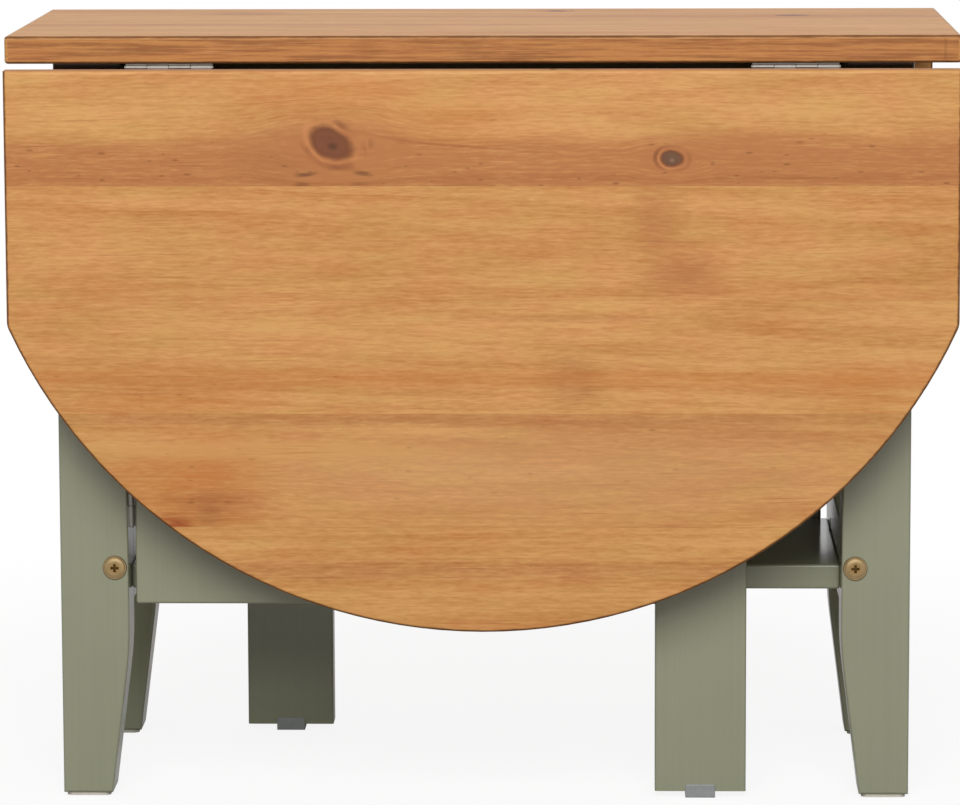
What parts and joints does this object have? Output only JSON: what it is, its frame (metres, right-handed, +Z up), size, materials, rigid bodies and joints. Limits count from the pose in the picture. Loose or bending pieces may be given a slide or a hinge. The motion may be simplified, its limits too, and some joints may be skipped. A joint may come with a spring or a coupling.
{
  "type": "drop leaf coffee table",
  "caption": "Low table with a narrow pine top, D-shaped leaves hinged along both long edges, and painted gate legs that swing out to carry the raised leaves.",
  "frame": {"origin": "on the floor, under the middle of the table top", "axes": "+X along the leaf hinges to the right, +Y from front to back, +Z up"},
  "size_m": [0.55, 0.2774, 0.45],
  "materials": {
    "waxed_pine": "waxed satin",
    "sage_paint": "satin paint",
    "hinge_steel": "zinc plated",
    "yellow_zinc": "yellow zinc plated",
    "beech": "raw",
    "grey_plastic": "matte",
    "pale_plastic": "matte"
  },
  "bodies": {
    "base": {"barrel_nuts": "hinge_steel", "front_gate_hinge_pins": "hinge_steel", "front_gate_lower_hinge_leg_plate": "hinge_steel", "front_gate_upper_hinge_leg_plate": "hinge_steel", "front_leaf_hinge_pins": "hinge_steel", "front_leaf_left_hinge_top_plate": "hinge_steel", "front_leaf_right_hinge_top_plate": "hinge_steel", "front_left_leg": "sage_paint", "front_right_leg": "sage_paint", "left_lower_rail": "sage_paint", "left_upper_rail": "sage_paint", "leg_hinge_screws": "hinge_steel", "leg_pads": "pale_plastic", "lower_stretcher": "sage_paint", "rail_bolts": "yellow_zinc", "rail_dowels": "beech", "rear_gate_hinge_pins": "hinge_steel", "rear_gate_lower_hinge_leg_plate": "hinge_steel", "rear_gate_upper_hinge_leg_plate": "hinge_steel", "rear_leaf_hinge_pins": "hinge_steel", "rear_leaf_left_hinge_top_plate": "hinge_steel", "rear_leaf_right_hinge_top_plate": "hinge_steel", "rear_left_leg": "sage_paint", "rear_right_leg": "sage_paint", "right_lower_rail": "sage_paint", "right_upper_rail": "sage_paint", "stretcher_screws": "hinge_steel", "top": "waxed_pine", "top_hinge_screws": "hinge_steel", "top_screws": "hinge_steel", "upper_stretcher": "sage_paint"},
    "front_leaf": {"front_leaf": "waxed_pine", "front_leaf_hinge_screws": "hinge_steel", "front_leaf_left_hinge_leaf_plate": "hinge_steel", "front_leaf_right_hinge_leaf_plate": "hinge_steel", "front_leaf_stop": "waxed_pine"},
    "rear_leaf": {"rear_leaf": "waxed_pine", "rear_leaf_hinge_screws": "hinge_steel", "rear_leaf_left_hinge_leaf_plate": "hinge_steel", "rear_leaf_right_hinge_leaf_plate": "hinge_steel", "rear_leaf_stop": "waxed_pine"},
    "front_gate": {"front_gate_dowels": "beech", "front_gate_glide": "grey_plastic", "front_gate_hinge_screws": "hinge_steel", "front_gate_leg": "sage_paint", "front_gate_lower_hinge_gate_plate": "hinge_steel", "front_gate_lower_rail": "sage_paint", "front_gate_stile": "sage_paint", "front_gate_upper_hinge_gate_plate": "hinge_steel", "front_gate_upper_rail": "sage_paint"},
    "rear_gate": {"rear_gate_dowels": "beech", "rear_gate_glide": "grey_plastic", "rear_gate_hinge_screws": "hinge_steel", "rear_gate_leg": "sage_paint", "rear_gate_lower_hinge_gate_plate": "hinge_steel", "rear_gate_lower_rail": "sage_paint", "rear_gate_stile": "sage_paint", "rear_gate_upper_hinge_gate_plate": "hinge_steel", "rear_gate_upper_rail": "sage_paint"}
  },
  "joints": [
    {"name": "front_leaf_lift", "type": "hinge", "parent": "base", "child": "front_leaf", "pos_m": [0, -0.1205, 0.4318], "axis": [-1, 0, 0], "range_deg": [0, 90]},
    {"name": "rear_leaf_lift", "type": "hinge", "parent": "base", "child": "rear_leaf", "pos_m": [0, 0.1205, 0.4318], "axis": [1, 0, 0], "range_deg": [0, 90]},
    {"name": "front_gate_swing", "type": "hinge", "parent": "base", "child": "front_gate", "pos_m": [-0.2068, -0.104, 0.27], "axis": [0, 0, -1], "range_deg": [0, 2.5]},
    {"name": "rear_gate_swing", "type": "hinge", "parent": "base", "child": "rear_gate", "pos_m": [0.2068, 0.104, 0.27], "axis": [0, 0, -1], "range_deg": [0, 2.5]}
  ]
}
